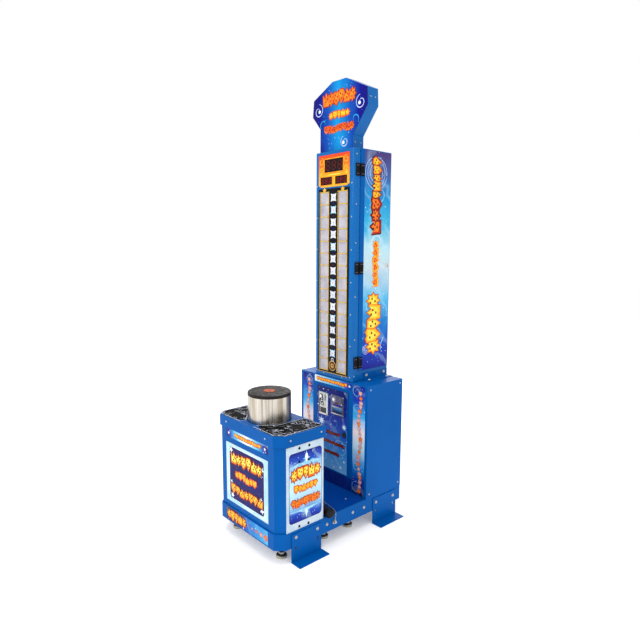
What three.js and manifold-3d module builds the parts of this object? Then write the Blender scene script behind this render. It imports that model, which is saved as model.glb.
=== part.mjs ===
// Strength-tester arcade machine: a padded steel post is struck with a mallet and a column shows the score.
// Millimetres. X runs across the machine, Y from its front to its back, Z up.
// The origin is on the floor, under the middle of the machine.
import * as THREE from "three";
import { mergeVertices } from "three/addons/utils/BufferGeometryUtils.js";
import Module from "manifold-3d";

const wasm = await Module();
wasm.setup();

// Driving dimensions
const GAP = 0.3; // air left between pieces that rest on each other
const SHEET = 3; // folded sheet metal
const HALF_WIDTH = 256;
const FRONT_Y = -415;
const BACK_Y = 415;
const FRONT_HALF = 217; // half width of the front face, between the chamfered corners
const CHAMFER_DEPTH = 46;
const FAR = 3000; // longer than anything, for cuts that run out of a piece

const BASE_LOW = 70;
const BASE_TOP = 148;
const PLATFORM_TOP = BASE_TOP + GAP + 2;
const FOOT_X = 180;
const STEM_RADIUS = 8;
const LID_TOP = 606;
const LID_BAND = 53;
const LID_BACK_Y = -134;
const BOX_INSET = 8; // the striking box stands this far inside its lid

const POST_Y = -270;
const POST_RADIUS = 105;
const POST_TOP = 744;
const PAD_THICKNESS = 14;
const SLEEVE_LOW = 540;
const SHAFT_RADIUS = 16;
const BEAM_TOP = 490;
const STROKE = 40; // how far the post goes down when it is struck

const CABINET_FRONT = 147;
const CABINET_TOP = 741;
const COLUMN_HALF = 144;
const COLUMN_LOW = CABINET_TOP + 2 * GAP + SHEET;
const COLUMN_TOP = 1910;
const COLUMN_CORNER = 16;

const WINDOW_ROWS = 15;
const WINDOW_PITCH = 62;
const WINDOW_TOP = 1707;
const WINDOW_BAR = 4;
const WINDOW_INNER = 37;
const WINDOW_OUTER = 98;

const HINGE_X = COLUMN_HALF + 8.6;
const HINGE_Y = 185;
const HINGE_HEIGHT = 60;
const HINGE_BARREL = 4.5;

const SIGN_FRONT = 177;
const SIGN_BACK = 253;

// Geometry helpers
function toSolid(geometry) {
  const bare = geometry.index ? geometry.toNonIndexed() : geometry.clone();
  bare.deleteAttribute("normal");
  bare.deleteAttribute("uv");
  const merged = mergeVertices(bare, 1e-4);
  const index = merged.index.array;
  const triangles = [];
  for (let i = 0; i < index.length; i += 3) {
    const [a, b, c] = [index[i], index[i + 1], index[i + 2]];
    if (a !== b && b !== c && c !== a) triangles.push(a, b, c);
  }
  return new wasm.Manifold(new wasm.Mesh({
    numProp: 3,
    vertProperties: Float32Array.from(merged.attributes.position.array),
    triVerts: Uint32Array.from(triangles),
  }));
}

function toGeometry(solid) {
  const made = solid.getMesh();
  const geometry = new THREE.BufferGeometry();
  geometry.setAttribute("position", new THREE.BufferAttribute(made.vertProperties, 3));
  geometry.setIndex(new THREE.BufferAttribute(made.triVerts, 1));
  geometry.computeVertexNormals();
  return geometry;
}

function box([x0, x1], [y0, y1], [z0, z1]) {
  const geometry = new THREE.BoxGeometry(x1 - x0, y1 - y0, z1 - z0);
  geometry.translate((x0 + x1) / 2, (y0 + y1) / 2, (z0 + z1) / 2);
  return toSolid(geometry);
}

function prism(points, z0, z1) {
  const shape = new THREE.Shape(points.map(([x, y]) => new THREE.Vector2(x, y)));
  const geometry = new THREE.ExtrudeGeometry(shape, { depth: z1 - z0, bevelEnabled: false, curveSegments: 12 });
  geometry.translate(0, 0, z0);
  return toSolid(geometry);
}

// A plate whose outline is drawn in X and Z, standing between two Y planes.
function upright(points, y0, y1) {
  const shape = new THREE.Shape(points.map(([x, z]) => new THREE.Vector2(x, z)));
  const geometry = new THREE.ExtrudeGeometry(shape, { depth: y1 - y0, bevelEnabled: false });
  geometry.rotateX(Math.PI / 2);
  geometry.translate(0, y1, 0);
  return toSolid(geometry);
}

// A solid of revolution. The profile is a list of [radius, height] that runs anticlockwise.
function turned(profile, segments = 32) {
  const points = profile.map(([radius, height]) => new THREE.Vector2(radius, height));
  return new THREE.LatheGeometry(points, segments);
}

function turnedZ(profile, x, y, segments) {
  const geometry = turned(profile, segments);
  geometry.rotateX(Math.PI / 2);
  geometry.translate(x, y, 0);
  return toSolid(geometry);
}

function turnedX(profile, y, z, segments) {
  const geometry = turned(profile, segments);
  geometry.rotateZ(-Math.PI / 2);
  geometry.translate(0, y, z);
  return toSolid(geometry);
}

function turnedY(profile, x, z, segments) {
  const geometry = turned(profile, segments);
  geometry.translate(x, 0, z);
  return toSolid(geometry);
}

function cylinderProfile(radius, low, high) {
  return [[0, low], [radius, low], [radius, high], [0, high]];
}

function ringProfile(inner, outer, low, high) {
  return [[inner, low], [outer, low], [outer, high], [inner, high], [inner, low]];
}

// Moves every side of an anticlockwise outline inwards by the same distance.
function inset(points, distance) {
  const sides = points.map(([x, y], i) => {
    const [nextX, nextY] = points[(i + 1) % points.length];
    const length = Math.hypot(nextX - x, nextY - y);
    const normal = [-(nextY - y) / length, (nextX - x) / length];
    return { normal, reach: normal[0] * x + normal[1] * y + distance };
  });
  return sides.map((side, i) => {
    const before = sides[(i + sides.length - 1) % sides.length];
    const cross = before.normal[0] * side.normal[1] - before.normal[1] * side.normal[0];
    const x = (before.reach * side.normal[1] - side.reach * before.normal[1]) / cross;
    const y = (before.normal[0] * side.reach - side.normal[0] * before.reach) / cross;
    return [x, y];
  });
}

function mirrored(points) {
  return points.map(([x, y]) => [-x, y]).reverse();
}

function arc(centreX, centreY, radius, from, to, steps) {
  return Array.from({ length: steps + 1 }, (_, i) => {
    const angle = THREE.MathUtils.degToRad(from + ((to - from) * i) / steps);
    return [centreX + radius * Math.cos(angle), centreY + radius * Math.sin(angle)];
  });
}

// Finishes of the meshes
const finishes = {
  blue: { color: 0x0c5cb4, roughness: 0.35, metalness: 0.1 },
  darkBlue: { color: 0x0c2f7a, roughness: 0.4, metalness: 0.1 },
  steel: { color: 0xb8b2a8, roughness: 0.3, metalness: 1 },
  zinc: { color: 0x9a9a98, roughness: 0.4, metalness: 1 },
  chrome: { color: 0xd8d8d8, roughness: 0.12, metalness: 1 },
  brass: { color: 0xb08a3c, roughness: 0.35, metalness: 1 },
  rubber: { color: 0x1c1a1c, roughness: 0.7, metalness: 0 },
  black: { color: 0x101012, roughness: 0.3, metalness: 0 },
  white: { color: 0xdfe8ea, roughness: 0.3, metalness: 0 },
  orange: { color: 0xf06a1c, roughness: 0.3, metalness: 0 },
  lens: { color: 0xb8b4c8, roughness: 0.25, metalness: 0 },
  board: { color: 0x1c6b3a, roughness: 0.5, metalness: 0 },
  wood: { color: 0xb98b54, roughness: 0.5, metalness: 0 },
  yellow: { color: 0xd8b224, roughness: 0.5, metalness: 0 },
};

const machine = new THREE.Group();

function addPiece(name, solid, finish, parent = machine) {
  const mesh = new THREE.Mesh(toGeometry(solid), new THREE.MeshStandardMaterial(finishes[finish]));
  mesh.name = name;
  parent.add(mesh);
  return mesh;
}

// Outline of the machine's foot print, with the two chamfered front corners.
function footprint(insetBy, backY) {
  const whole = [
    [-FRONT_HALF, FRONT_Y],
    [FRONT_HALF, FRONT_Y],
    [HALF_WIDTH, FRONT_Y + CHAMFER_DEPTH],
    [HALF_WIDTH, backY + insetBy],
    [-HALF_WIDTH, backY + insetBy],
    [-HALF_WIDTH, FRONT_Y + CHAMFER_DEPTH],
  ];
  return inset(whole, insetBy);
}

// Striking box: body, lid, mats and panels
function buildStrikingBox() {
  const bodyBack = LID_BACK_Y - BOX_INSET;
  const bodyLow = BASE_TOP + GAP;
  const bodyTop = LID_TOP - SHEET - GAP;
  const bodySide = HALF_WIDTH - BOX_INSET;
  const hatchY = [-345, -165];
  const hatchZ = [195, 500];
  const body = prism(footprint(BOX_INSET, bodyBack), bodyLow, bodyTop)
    .subtract(prism(footprint(BOX_INSET + SHEET, bodyBack - SHEET), 0, FAR))
    .subtract(box([-FAR, FAR], hatchY, hatchZ));
  addPiece("strike_housing", body, "blue");

  const bore = turnedZ(cylinderProfile(POST_RADIUS + 3, 0, FAR), 0, POST_Y, 48);
  const lid = prism(footprint(0, LID_BACK_Y), LID_TOP - LID_BAND, LID_TOP)
    .subtract(prism(footprint(SHEET, LID_BACK_Y - SHEET), 0, LID_TOP - SHEET))
    .subtract(bore);
  addPiece("strike_lid", lid, "blue");

  const border = 10;
  const [, front, side] = footprint(border, LID_BACK_Y - border);
  const matInner = POST_RADIUS + 7;
  const mat = [
    [matInner, front[1]],
    front,
    side,
    [side[0], LID_BACK_Y - border],
    [matInner, LID_BACK_Y - border],
    ...arc(0, POST_Y, matInner, 0, -63, 9),
  ];
  addPiece("step_mat_right", prism(mat, LID_TOP + GAP, LID_TOP + GAP + 2), "black");
  addPiece("step_mat_left", prism(mirrored(mat), LID_TOP + GAP, LID_TOP + GAP + 2), "black");

  const bodyFront = FRONT_Y + BOX_INSET;
  const panelFace = bodyFront - GAP - 2;
  addPiece("front_panel", box([-172, 172], [panelFace, bodyFront - GAP], [179, 479]), "white");

  const sideFrom = FRONT_Y + CHAMFER_DEPTH + 4;
  const sideY = [sideFrom, bodyBack - 2];
  for (const [name, sign] of [["side_panel_right", 1], ["side_panel_left", -1]]) {
    const faces = [sign * (bodySide + GAP), sign * (bodySide + GAP + SHEET)].sort((a, b) => a - b);
    addPiece(name, box(faces, sideY, [BASE_TOP + GAP, LID_TOP - LID_BAND - 4]), "white");
  }
}

// Striker: the sleeve that is hit, and what it rides on inside the box
function buildStriker() {
  const sleeveTop = POST_TOP - PAD_THICKNESS - GAP;
  const wall = POST_RADIUS - SHEET;
  const sleeve = [[0, sleeveTop - SHEET], [wall, sleeveTop - SHEET], [wall, SLEEVE_LOW], [POST_RADIUS, SLEEVE_LOW],
    [POST_RADIUS, sleeveTop], [0, sleeveTop]];
  addPiece("strike_sleeve", turnedZ(sleeve, 0, POST_Y, 48), "steel");
  const padLow = POST_TOP - PAD_THICKNESS;
  const pad = [[0, padLow], [POST_RADIUS - 0.5, padLow], [POST_RADIUS - 0.5, POST_TOP - 3],
    [POST_RADIUS - 3.5, POST_TOP], [0, POST_TOP]];
  addPiece("strike_pad", turnedZ(pad, 0, POST_Y, 48), "rubber");
  addPiece("target_disc", turnedZ(cylinderProfile(28, POST_TOP + GAP, POST_TOP + 1.5), 0, POST_Y, 32), "orange");

  const collarTop = BEAM_TOP - 60 - GAP;
  const flangeTop = BEAM_TOP + GAP + 6;
  const bufferTop = flangeTop + 22;
  const shoulder = bufferTop + STROKE + GAP;
  const shaftTop = sleeveTop - SHEET - GAP;
  const springSeat = shaftTop - 8;
  const shaft = [[0, 330], [SHAFT_RADIUS, 330], [SHAFT_RADIUS, collarTop - 14], [28, collarTop - 14],
    [28, collarTop], [SHAFT_RADIUS, collarTop], [SHAFT_RADIUS, shoulder], [28, shoulder], [28, shoulder + 12],
    [SHAFT_RADIUS, shoulder + 12], [SHAFT_RADIUS, springSeat], [54, springSeat], [54, shaftTop], [0, shaftTop]];
  addPiece("plunger_shaft", turnedZ(shaft, 0, POST_Y, 32), "zinc");

  const bushRadius = 24;
  const boreForBush = turnedZ(cylinderProfile(bushRadius + GAP, 0, FAR), 0, POST_Y, 32);
  const beam = box([-236, 236], [POST_Y - 70, POST_Y + 70], [BEAM_TOP - 10, BEAM_TOP])
    .add(box([-236, -226], [POST_Y - 70, POST_Y + 70], [BEAM_TOP - 60, BEAM_TOP]))
    .add(box([226, 236], [POST_Y - 70, POST_Y + 70], [BEAM_TOP - 60, BEAM_TOP]))
    .subtract(boreForBush);
  addPiece("guide_beam", beam, "zinc");
  const bore = SHAFT_RADIUS + GAP;
  const bush = [[bore, BEAM_TOP - 60], [bushRadius, BEAM_TOP - 60], [bushRadius, BEAM_TOP + GAP],
    [34, BEAM_TOP + GAP], [34, flangeTop], [bore, flangeTop], [bore, BEAM_TOP - 60]];
  addPiece("guide_bush", turnedZ(bush, 0, POST_Y, 32), "brass");
  const buffer = ringProfile(SHAFT_RADIUS + 2, 30, flangeTop + GAP, bufferTop);
  addPiece("stop_buffer", turnedZ(buffer, 0, POST_Y, 32), "rubber");

  addPiece("strike_spring", coilSpring(45, 4, BEAM_TOP + GAP, springSeat - GAP, 7), "zinc");
  const sensor = box([34, 94], [POST_Y - 22, POST_Y + 22], [BEAM_TOP - 58, BEAM_TOP - 10 - GAP])
    .add(box([29, 35], [POST_Y - 12, POST_Y + 12], [BEAM_TOP - 56, BEAM_TOP - 20]));
  addPiece("impact_sensor", sensor, "black");
}

// A round-wire compression spring around the post's axis, its ends level with the two seats.
function coilSpring(radius, wire, low, high, turns) {
  const steps = turns * 14;
  const rise = high - low - 2 * wire;
  const points = Array.from({ length: steps + 1 }, (_, i) => {
    const angle = (2 * Math.PI * turns * i) / steps;
    const height = low + wire + (rise * i) / steps;
    return new THREE.Vector3(radius * Math.cos(angle), POST_Y + radius * Math.sin(angle), height);
  });
  const section = new THREE.Shape(arc(0, 0, wire, 0, 315, 7).map(([x, y]) => new THREE.Vector2(x, y)));
  const path = new THREE.CatmullRomCurve3(points);
  return toSolid(new THREE.ExtrudeGeometry(section, { extrudePath: path, steps, bevelEnabled: false }));
}

// Base: tray with a cross bar over each pair of levelling feet, platform cover and outriggers
function buildBase() {
  const skin = 2;
  const rows = [["front", -340], ["mid", -80], ["step", 90], ["rear", 350]];
  const inner = HALF_WIDTH - skin - SHEET + 1;
  let tray = prism(footprint(skin, BACK_Y), BASE_LOW, BASE_TOP)
    .subtract(prism(footprint(skin + SHEET, BACK_Y - SHEET), 0, BASE_TOP - SHEET))
    .subtract(box([-150, 150], [-315, -170], [0, FAR]));
  for (const [, y] of rows) {
    tray = tray.add(box([-inner, inner], [y - 20, y + 20], [BASE_LOW + 4, BASE_LOW + 26]));
    for (const x of [-FOOT_X, FOOT_X]) {
      tray = tray.subtract(turnedZ(cylinderProfile(STEM_RADIUS + GAP, 0, BASE_LOW + 30), x, y, 16));
    }
  }
  addPiece("base_frame", tray, "blue");
  const platform = box([-246, 246], [LID_BACK_Y + 2, CABINET_FRONT - 2], [BASE_TOP + GAP, PLATFORM_TOP]);
  addPiece("platform_plate", platform, "darkBlue");

  const skirt = HALF_WIDTH - skin + GAP;
  for (const [place, centreY] of [["front", -252], ["rear", 288]]) {
    for (const [side, sign] of [["right", 1], ["left", -1]]) {
      const bracket = outrigger(skirt, sign, centreY);
      addPiece(`outrigger_${place}_${side}`, bracket, "blue");
    }
  }
  for (const [row, y] of rows) {
    addPiece(`foot_${row}_right`, levellingFoot(FOOT_X, y), "rubber");
    addPiece(`foot_${row}_left`, levellingFoot(-FOOT_X, y), "rubber");
  }
}

// An angle bracket bolted to the skirt, with two slots and a flange on the floor.
function outrigger(skirt, sign, centreY) {
  const thickness = 4;
  const reach = 317;
  const halfLength = 90;
  const span = (a, b) => [Math.min(sign * a, sign * b), Math.max(sign * a, sign * b)];
  const along = [centreY - halfLength, centreY + halfLength];
  let bracket = box(span(skirt, skirt + thickness), along, [0, 136]).add(box(span(skirt, reach), along, [0, thickness]));
  for (const offset of [-67, 67]) {
    const y = centreY + offset;
    bracket = bracket.subtract(box(span(skirt - 1, skirt + 9), [y - 4, y + 4], [58, 76]));
  }
  return bracket;
}

function levellingFoot(x, y) {
  const stemTop = BASE_TOP - SHEET - 25;
  const profile = [[0, 0], [27, 0], [27, 9], [22, 15], [14, 15], [14, 26], [STEM_RADIUS, 26],
    [STEM_RADIUS, stemTop], [0, stemTop]];
  return turnedZ(profile, x, y, 16);
}

// Mallet: it lies on the platform behind the striking box, its grip over the right skirt
function buildMallet() {
  const headRadius = 50;
  const headHalf = 80;
  const skew = THREE.MathUtils.degToRad(8);
  const tilt = THREE.MathUtils.degToRad(4);
  const gripFrom = 300;
  const knobFrom = 474;
  const end = 497;
  const handleRadius = 13;
  const gripRadius = 17;
  const knobRadius = 23;

  const mallet = new THREE.Group();
  mallet.position.set(-212, -46.5, PLATFORM_TOP + headRadius + GAP);
  mallet.rotation.set(0, tilt, -skew, "ZYX");
  machine.add(mallet);

  const head = [[0, -headHalf], [headRadius - 8, -headHalf], [headRadius, -headHalf + 8], [headRadius, headHalf - 8],
    [headRadius - 8, headHalf], [0, headHalf]];
  const socket = turnedX(cylinderProfile(handleRadius + GAP, -38, FAR), 0, 0, 24);
  addPiece("mallet_head", turnedY(head, 0, 0, 36).subtract(socket), "rubber", mallet);
  const handle = cylinderProfile(handleRadius, -37, knobFrom + 6);
  addPiece("mallet_handle", turnedX(handle, 0, 0, 24), "wood", mallet);
  const inner = handleRadius + GAP;
  const grip = [[inner, gripFrom], [gripRadius, gripFrom], [gripRadius, knobFrom], [knobRadius - 3, knobFrom],
    [knobRadius, knobFrom + 5], [knobRadius, end - 9], [knobRadius - 6, end - 2], [knobRadius - 13, end],
    [0, end], [0, knobFrom + 6.5], [inner, knobFrom + 6.5], [inner, gripFrom]];
  addPiece("mallet_grip", turnedX(grip, 0, 0, 24), "rubber", mallet);
}

// Tether: a thin steel cable from its lug on the skirt, over the platform, to the end of the mallet's head
function buildTether() {
  const skirt = HALF_WIDTH - 2 + GAP;
  const lugY = -75;
  const lugZ = 108;
  const ferruleX = skirt + 9;
  const lug = turnedX(cylinderProfile(11, skirt, skirt + 3), lugY, lugZ, 20)
    .add(turnedX(cylinderProfile(7, skirt + 2, skirt + 13), lugY, lugZ, 6))
    .add(turnedZ(cylinderProfile(3.5, lugZ, lugZ + 12), ferruleX, lugY, 12));
  addPiece("tether_lug", lug, "zinc");
  const radius = 2;
  const lying = PLATFORM_TOP + radius + GAP;
  const route = [
    [ferruleX, lugY, lugZ + 12 + GAP],
    [ferruleX, lugY, lugZ + 20],
    [ferruleX, -73, lugZ + 29],
    [ferruleX - 2, -70, lugZ + 38],
    [ferruleX - 7.5, -66, lying - 0.5],
    [ferruleX - 17, -61, lying + 0.6],
    [236, -55, lying],
    [222, -51, lying],
    [200, -46.5, lying],
    [176, -42, lying],
    [140, -35, lying],
    [100, -24, lying],
    [60, -9, lying],
    [20, 9, lying],
    [-20, 28, lying],
    [-60, 46, lying],
    [-100, 61, lying],
    [-135, 70, lying],
    [-162, 73, lying + 2],
    [-180, 71, lying + 12],
    [-191, 65, lying + 27],
    [-196, 56, lying + 40],
    [-198.6, 45, lying + 46.5],
    [-200.3, 34.5, lying + 48],
  ].map(([x, y, z]) => new THREE.Vector3(x, y, z));
  const section = new THREE.Shape(arc(0, 0, radius, 0, 315, 7).map(([x, y]) => new THREE.Vector2(x, y)));
  const path = new THREE.CatmullRomCurve3(route);
  const cable = new THREE.ExtrudeGeometry(section, { extrudePath: path, steps: 70, bevelEnabled: false });
  addPiece("tether_cable", toSolid(cable), "zinc");
}

// Coin cabinet with its door, coin plates, lock and what is inside
function buildCabinet() {
  const low = BASE_TOP + GAP;
  const shell = box([-HALF_WIDTH, HALF_WIDTH], [CABINET_FRONT, BACK_Y], [low, CABINET_TOP])
    .subtract(box([SHEET - HALF_WIDTH, HALF_WIDTH - SHEET], [CABINET_FRONT + SHEET, BACK_Y - SHEET],
      [low + SHEET, CABINET_TOP - SHEET]))
    .subtract(box([-112, 112], [0, CABINET_FRONT + 10], [232, 676]))
    .subtract(box([-110, 110], [175, 385], [CABINET_TOP - 10, FAR]))
    .subtract(box([164, 216], [BACK_Y - 10, FAR], [174, 206]));
  addPiece("cabinet_shell", shell, "blue");

  const doorFace = CABINET_FRONT - GAP - SHEET;
  const lockX = 96;
  const lockZ = 450;
  const plates = [
    { side: "left", centre: -62.5, width: 73, low: 526, high: 650 },
    { side: "right", centre: 46.5, width: 99, low: 546, high: 652 },
  ];
  let door = box([-120, 120], [doorFace, doorFace + SHEET], [224, 684])
    .subtract(turnedY(cylinderProfile(10, 0, FAR), lockX, lockZ, 24));
  for (const plate of plates) {
    const half = plate.width / 2 - 7 + GAP;
    door = door.subtract(box([plate.centre - half, plate.centre + half], [0, FAR], [plate.low + 7 - GAP,
      plate.high - 7 + GAP]));
    buildCoinPlate(plate, doorFace);
  }
  addPiece("coin_door", door, "darkBlue");

  const camY = CABINET_FRONT + SHEET + 2;
  const lock = turnedY(cylinderProfile(13, doorFace - 6, doorFace - GAP), lockX, lockZ, 24)
    .add(turnedY(cylinderProfile(9.5, doorFace - 6, camY + 3), lockX, lockZ, 24))
    .add(box([lockX - 7, lockX + 7], [camY, camY + 3], [lockZ - 8, lockZ + 30]))
    .subtract(box([lockX - 1, lockX + 1], [0, doorFace - 2], [lockZ - 5, lockZ + 5]));
  addPiece("door_lock", lock, "black");

  const cash = box([-95, 95], [185, 375], [low + SHEET + GAP, 262])
    .subtract(box([-93, 93], [187, 373], [low + SHEET + 2 + GAP, FAR]));
  addPiece("cash_box", cash, "zinc");
  addPiece("power_supply", box([115, 245], [225, 380], [low + SHEET + GAP, 205]), "zinc");
  addPiece("control_board", controlBoard(), "board");
  const inlet = box([165, 215], [BACK_Y - 30, BACK_Y], [175, 205])
    .subtract(box([172, 208], [BACK_Y - 18, FAR], [180, 200]));
  addPiece("power_inlet", inlet, "black");
}

// One coin acceptor: a thick plate with a coin slot, a reject button and a return pocket with a flap
function buildCoinPlate({ side, centre, width, low, high }, doorFace) {
  const face = doorFace - GAP - 5;
  const half = width / 2;
  const pocketHalf = half - 13;
  const pocketZ = [low + 10, low + 40];
  const buttonX = centre - half / 2;
  const buttonZ = high - 24;
  const slotX = centre + half / 2 - 2;
  const body = box([centre - half, centre + half], [face, face + 5], [low, high])
    .add(box([centre - half + 7, centre + half - 7], [face + 4, doorFace + 62], [low + 7, high - 7]))
    .subtract(box([slotX - 2.3, slotX + 2.3], [0, doorFace + 45], [high - 42, high - 12]))
    .subtract(turnedY(cylinderProfile(9, 0, face + 24), buttonX, buttonZ, 24))
    .subtract(box([centre - pocketHalf, centre + pocketHalf], [0, doorFace + 45], pocketZ));
  addPiece(`coin_plate_${side}`, body, "chrome");
  const button = turnedY(cylinderProfile(8.4, face - 4, face + 16), buttonX, buttonZ, 24);
  addPiece(`reject_button_${side}`, button, "chrome");
  const pivotZ = pocketZ[1] - 3;
  const flap = box([centre - pocketHalf + 1, centre + pocketHalf - 1], [face + 2, face + 4], [pocketZ[0] + 1, pivotZ])
    .add(turnedX(cylinderProfile(2, centre - pocketHalf + 1, centre + pocketHalf - 1), face + 3, pivotZ, 12));
  addPiece(`return_flap_${side}`, flap, "black");
}

function controlBoard() {
  const wall = SHEET - HALF_WIDTH + GAP;
  let board = box([wall, wall + 3], [200, 380], [360, 560]);
  const chips = [[215, 250, 380, 410], [270, 330, 380, 430], [225, 260, 450, 520], [300, 360, 470, 540]];
  for (const [y0, y1, z0, z1] of chips) {
    board = board.add(box([wall + 2, wall + 12], [y0, y1], [z0, z1]));
  }
  return board;
}

// Score column: shell, base flange, displays, lamp windows and the hinged side door
function buildColumn() {
  const outline = columnOutline(0);
  const lampWindow = [WINDOW_TOP - WINDOW_ROWS * WINDOW_PITCH - 4, WINDOW_TOP + 6];
  const shell = prism(outline, COLUMN_LOW, COLUMN_TOP)
    .subtract(prism(columnOutline(SHEET), COLUMN_LOW + SHEET, COLUMN_TOP - SHEET))
    .subtract(box([-104, 104], [0, CABINET_FRONT + 10], lampWindow))
    .subtract(box([-104, 104], [0, CABINET_FRONT + 10], [1738, 1888]))
    .subtract(box([COLUMN_HALF - 10, FAR], [205, 400], [815, 1888]))
    .subtract(box([-110, 110], [175, 385], [0, COLUMN_LOW + 10]))
    .subtract(box([-50, 50], [195, 235], [COLUMN_TOP - 10, FAR]));
  addPiece("column_shell", shell, "blue");

  const reach = COLUMN_HALF + 40;
  const leg = COLUMN_HALF + GAP;
  const plateZ = [CABINET_TOP + GAP, CABINET_TOP + GAP + SHEET];
  const flange = box([-reach, reach], [230, BACK_Y - 2], plateZ)
    .add(box([4 - COLUMN_HALF, COLUMN_HALF - 4], [CABINET_FRONT + 4, 235], plateZ))
    .add(box([leg, leg + SHEET], [230, BACK_Y - 2], [plateZ[0], plateZ[0] + 38]))
    .add(box([-leg - SHEET, -leg], [230, BACK_Y - 2], [plateZ[0], plateZ[0] + 38]))
    .subtract(box([-110, 110], [175, 385], [0, FAR]));
  addPiece("column_flange", flange, "blue");

  buildDisplays();
  buildLampWindows(lampWindow);
  buildColumnDoor();
}

function columnOutline(insetBy) {
  const half = COLUMN_HALF - insetBy;
  const front = CABINET_FRONT + insetBy;
  const corner = COLUMN_CORNER - insetBy;
  return [
    ...arc(half - corner, front + corner, corner, -90, 0, 6),
    [half, BACK_Y - insetBy],
    [-half, BACK_Y - insetBy],
    ...arc(-half + corner, front + corner, corner, 180, 270, 6),
  ];
}

// The printed display panel and the board behind it, whose three number blocks fill the panel's windows.
function buildDisplays() {
  const panelY = [CABINET_FRONT - GAP - 3, CABINET_FRONT - GAP];
  const windows = [
    [[-68, 68], [1806, 1871]],
    [[-98, -11], [1744, 1784]],
    [[11, 98], [1744, 1784]],
  ];
  const outline = [[-94, 1733], [94, 1733], [112, 1743], [112, 1893], [-112, 1893], [-112, 1743]];
  let panel = upright(outline, ...panelY);
  let board = box([-102, 102], [CABINET_FRONT + SHEET + GAP, CABINET_FRONT + SHEET + 4], [1740, 1886]);
  for (const [[x0, x1], [z0, z1]] of windows) {
    panel = panel.subtract(box([x0, x1], [0, FAR], [z0, z1]));
    board = board.add(box([x0 + 0.5, x1 - 0.5], [panelY[0] + 1, CABINET_FRONT + SHEET + 2], [z0 + 0.5, z1 - 0.5]));
  }
  addPiece("display_panel", panel, "orange");
  addPiece("display_board", board, "black");
}

// The black panel with two columns of lamp windows, and the lamp board whose diffusers fill them.
function buildLampWindows([low, high]) {
  const panelY = [CABINET_FRONT - GAP - 2.5, CABINET_FRONT - GAP];
  let panel = box([-113, 113], panelY, [low - 8, high + 12]);
  let board = box([-102, 102], [CABINET_FRONT + SHEET + GAP, CABINET_FRONT + SHEET + 4], [low + 2, high - 2]);
  for (let row = 0; row < WINDOW_ROWS; row += 1) {
    const top = WINDOW_TOP - row * WINDOW_PITCH - WINDOW_BAR / 2;
    const bottom = top - WINDOW_PITCH + WINDOW_BAR;
    for (const [x0, x1] of [[WINDOW_INNER, WINDOW_OUTER], [-WINDOW_OUTER, -WINDOW_INNER]]) {
      panel = panel.subtract(box([x0, x1], [0, FAR], [bottom, top]));
      const lens = box([x0 + 0.5, x1 - 0.5], [panelY[0] + 1, CABINET_FRONT + SHEET + 2], [bottom + 0.5, top - 0.5]);
      board = board.add(lens);
    }
  }
  addPiece("light_panel", panel, "black");
  addPiece("light_board", board, "lens");
}

// The side door with its moving hinge leaves, and the three fixed leaves with their pins.
function buildColumnDoor() {
  const inner = COLUMN_HALF + GAP;
  const third = HINGE_HEIGHT / 3;
  let door = box([inner, inner + SHEET], [HINGE_Y + 3, BACK_Y - 2], [795, 1907]);
  const hinges = [["low", 840], ["middle", 1324], ["high", 1806]];
  for (const [place, centre] of hinges) {
    const whole = [centre - HINGE_HEIGHT / 2, centre + HINGE_HEIGHT / 2];
    const middle = [centre - third / 2 + GAP, centre + third / 2 - GAP];
    const leafX = [inner + SHEET - 0.5, HINGE_X - 2.2];
    const moving = box(leafX, [HINGE_Y + 5.5, HINGE_Y + 29], whole)
      .add(box(leafX, [HINGE_Y - 0.5, HINGE_Y + 6], middle))
      .add(turnedZ(cylinderProfile(HINGE_BARREL, ...middle), HINGE_X, HINGE_Y, 20))
      .subtract(turnedZ(cylinderProfile(2.3, 0, FAR), HINGE_X, HINGE_Y, 12));
    door = door.add(moving);

    let fixed = box([inner, HINGE_X - 2.2], [HINGE_Y - 29, HINGE_Y - 5.5], whole);
    for (const ends of [[whole[0], middle[0] - GAP], [middle[1] + GAP, whole[1]]]) {
      fixed = fixed
        .add(box([inner + SHEET + 0.5, HINGE_X - 2.2], [HINGE_Y - 6, HINGE_Y + 0.5], ends))
        .add(turnedZ(cylinderProfile(HINGE_BARREL, ...ends), HINGE_X, HINGE_Y, 20));
    }
    fixed = fixed.add(turnedZ(cylinderProfile(2, ...whole), HINGE_X, HINGE_Y, 12));
    addPiece(`column_hinge_${place}`, fixed, "black");
  }
  addPiece("column_door", door, "darkBlue");
}

// Sign on top of the column: a shallow box with a printed face
function buildSign() {
  const low = COLUMN_TOP + GAP;
  const outline = [
    [99, low],
    [99, 1976],
    [196, 2104],
    [192, 2186],
    [49, 2254],
    [-49, 2254],
    [-190, 2186],
    [-198, 2104],
    [-138, 2035],
    [-138, low],
  ];
  const sheet = 2;
  const shell = upright(outline, SIGN_FRONT + sheet + GAP, SIGN_BACK)
    .subtract(upright(inset(outline, sheet), 0, SIGN_BACK - sheet))
    .subtract(box([-50, 50], [195, 235], [0, low + 10]));
  addPiece("marquee_box", shell, "blue");
  addPiece("marquee_face", upright(outline, SIGN_FRONT, SIGN_FRONT + sheet), "blue");
}

buildStrikingBox();
buildStriker();
buildBase();
buildMallet();
buildTether();
buildCabinet();
buildColumn();
buildSign();

export default machine;
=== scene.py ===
"""Looks of the strength-tester machine: camera, light, the tether, finishes, printed art and fasteners."""

import math
import random

import bmesh
import bpy
from mathutils import Euler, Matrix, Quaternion, Vector


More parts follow.
